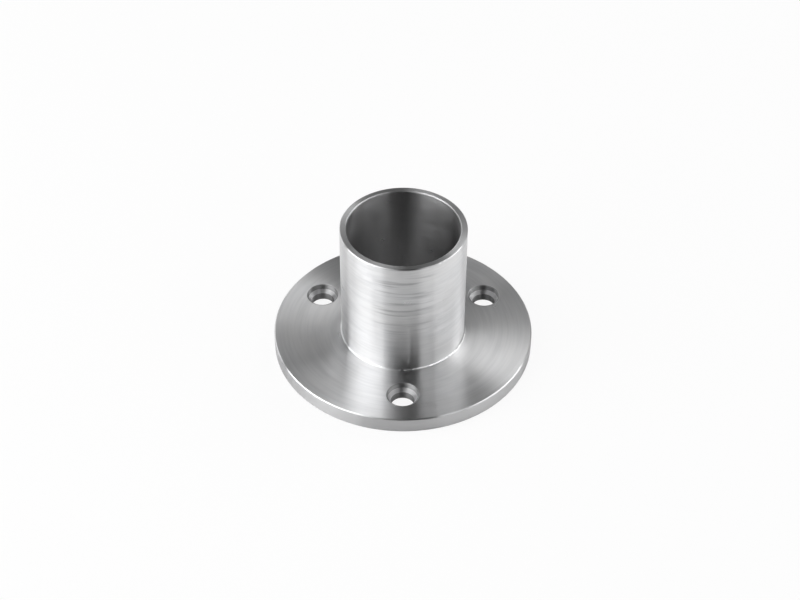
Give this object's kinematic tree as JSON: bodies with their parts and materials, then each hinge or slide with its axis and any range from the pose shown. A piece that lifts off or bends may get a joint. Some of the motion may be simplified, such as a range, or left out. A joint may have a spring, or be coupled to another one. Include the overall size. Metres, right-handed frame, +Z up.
{
  "type": "tube clamp base flange",
  "caption": "Round turned stainless flange with an upright plain socket for a handrail tube and stepped screw holes for fixing it down.",
  "frame": {"origin": "centre of the flange underside, on the socket axis", "axes": "+Z runs up the socket axis, away from the surface the flange is screwed to; one screw hole lies on -Y"},
  "size_m": [0.1, 0.1, 0.057],
  "materials": {
    "brushed_stainless": "turned and brushed, unpolished"
  },
  "bodies": {
    "root": {"base_flange": "brushed_stainless"}
  },
  "joints": []
}
